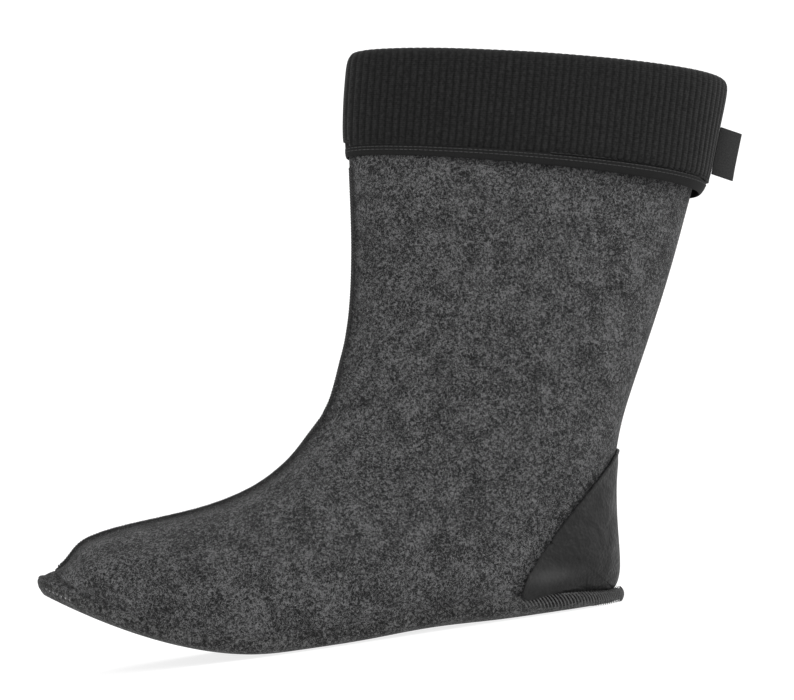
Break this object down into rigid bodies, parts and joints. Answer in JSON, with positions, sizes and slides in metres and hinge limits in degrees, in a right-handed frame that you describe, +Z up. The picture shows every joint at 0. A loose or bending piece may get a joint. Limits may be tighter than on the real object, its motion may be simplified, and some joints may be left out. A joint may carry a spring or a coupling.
{
  "type": "felt boot liner",
  "caption": "Hollow felt inner boot with a curled toe, raised front seam, leatherette heel patch and a folded rib-knit cuff.",
  "frame": {"origin": "on the floor under the middle of the heel, on the sole's flat heel spot", "axes": "+X towards the heel and the calf, -X towards the toe, +Y towards the inner side, +Z up the shaft"},
  "size_m": [0.4012, 0.1013, 0.3037],
  "materials": {
    "upper_felt": "charcoal marled needle felt, matt and hairy",
    "sole_felt": "charcoal needle felt sheet, matt",
    "patch_leatherette": "black fine-grained leatherette with a soft sheen",
    "cuff_knit": "near-black rib knit, matt",
    "binding_tape": "black woven tape, matt",
    "tab_tape": "dark grey woven tape, blank"
  },
  "bodies": {
    "root": {"upper": "upper_felt", "sole": "sole_felt", "heel_patch": "patch_leatherette", "cuff": "cuff_knit", "cuff_binding": "binding_tape", "back_tab": "tab_tape"}
  },
  "joints": []
}
